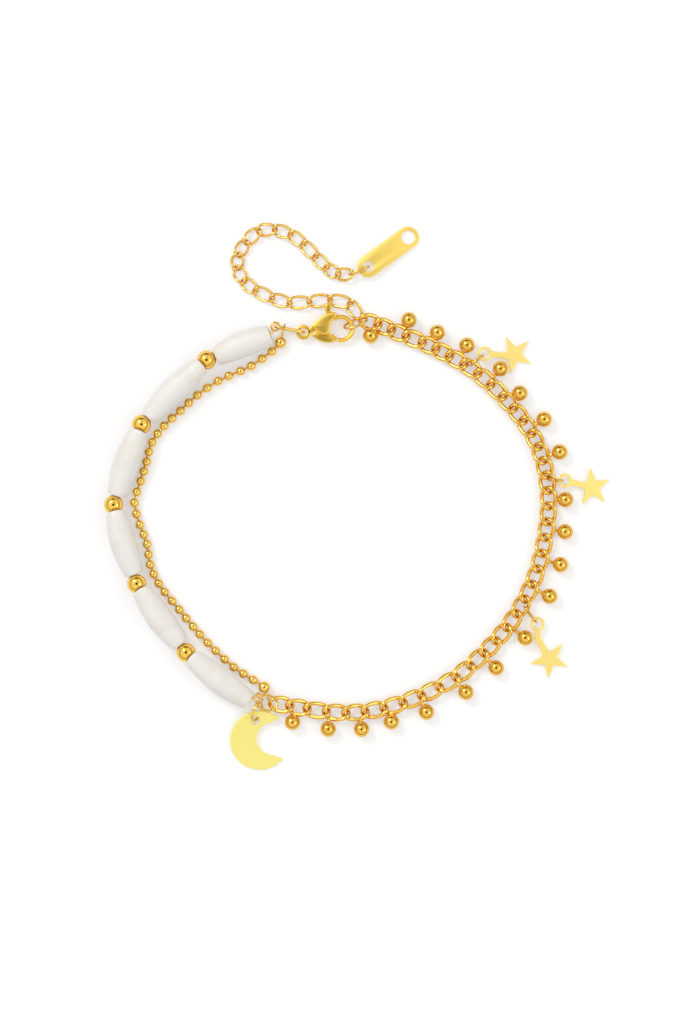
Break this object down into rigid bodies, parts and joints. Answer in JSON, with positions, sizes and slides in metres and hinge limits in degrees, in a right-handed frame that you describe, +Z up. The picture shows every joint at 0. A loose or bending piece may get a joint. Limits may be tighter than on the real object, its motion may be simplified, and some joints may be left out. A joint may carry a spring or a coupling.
{
  "type": "anklet",
  "caption": "Gold-toned anklet with a curb chain, ball drops, star and moon charms, white barrel beads, a lobster clasp and an extender.",
  "frame": {"origin": "centre of the box round the anklet as it lies, on the surface that it lies on", "axes": "+Z up from the surface, +Y from the moon towards the clasp and the tag, +X towards the curb chain with the stars"},
  "size_m": [0.0833, 0.0903, 0.0046],
  "materials": {
    "polished_gold": "polished gold plating",
    "satin_gold": "satin gold plating",
    "white_bead": "milky white, soft gloss"
  },
  "bodies": {
    "root": {"curb_chain": "polished_gold", "extender_chain": "polished_gold", "ball_chain": "polished_gold", "gold_bead_1": "polished_gold", "gold_bead_2": "polished_gold", "gold_bead_3": "polished_gold", "gold_bead_4": "polished_gold", "gold_bead_5": "polished_gold", "clasp_ring": "polished_gold", "end_ring": "polished_gold", "bead_wire": "polished_gold", "star_ring_1": "polished_gold", "star_ring_2": "polished_gold", "star_ring_3": "polished_gold", "moon_ring": "polished_gold", "clasp_body": "polished_gold", "star_1": "satin_gold", "star_2": "satin_gold", "star_3": "satin_gold", "moon_pendant": "satin_gold", "tag_plate": "satin_gold", "white_bead_1": "white_bead", "white_bead_2": "white_bead", "white_bead_3": "white_bead", "white_bead_4": "white_bead", "white_bead_5": "white_bead", "white_bead_6": "white_bead"},
    "lever": {"clasp_lever": "polished_gold"}
  },
  "joints": [
    {"name": "lever_hinge", "type": "hinge", "parent": "root", "child": "lever", "pos_m": [-0.0057, 0.0277, 0.00115], "axis": [0, 0, 1], "range_deg": [0, 25], "stiffness_Nm_per_rad": 0.0005, "springref_deg": -5.73}
  ]
}
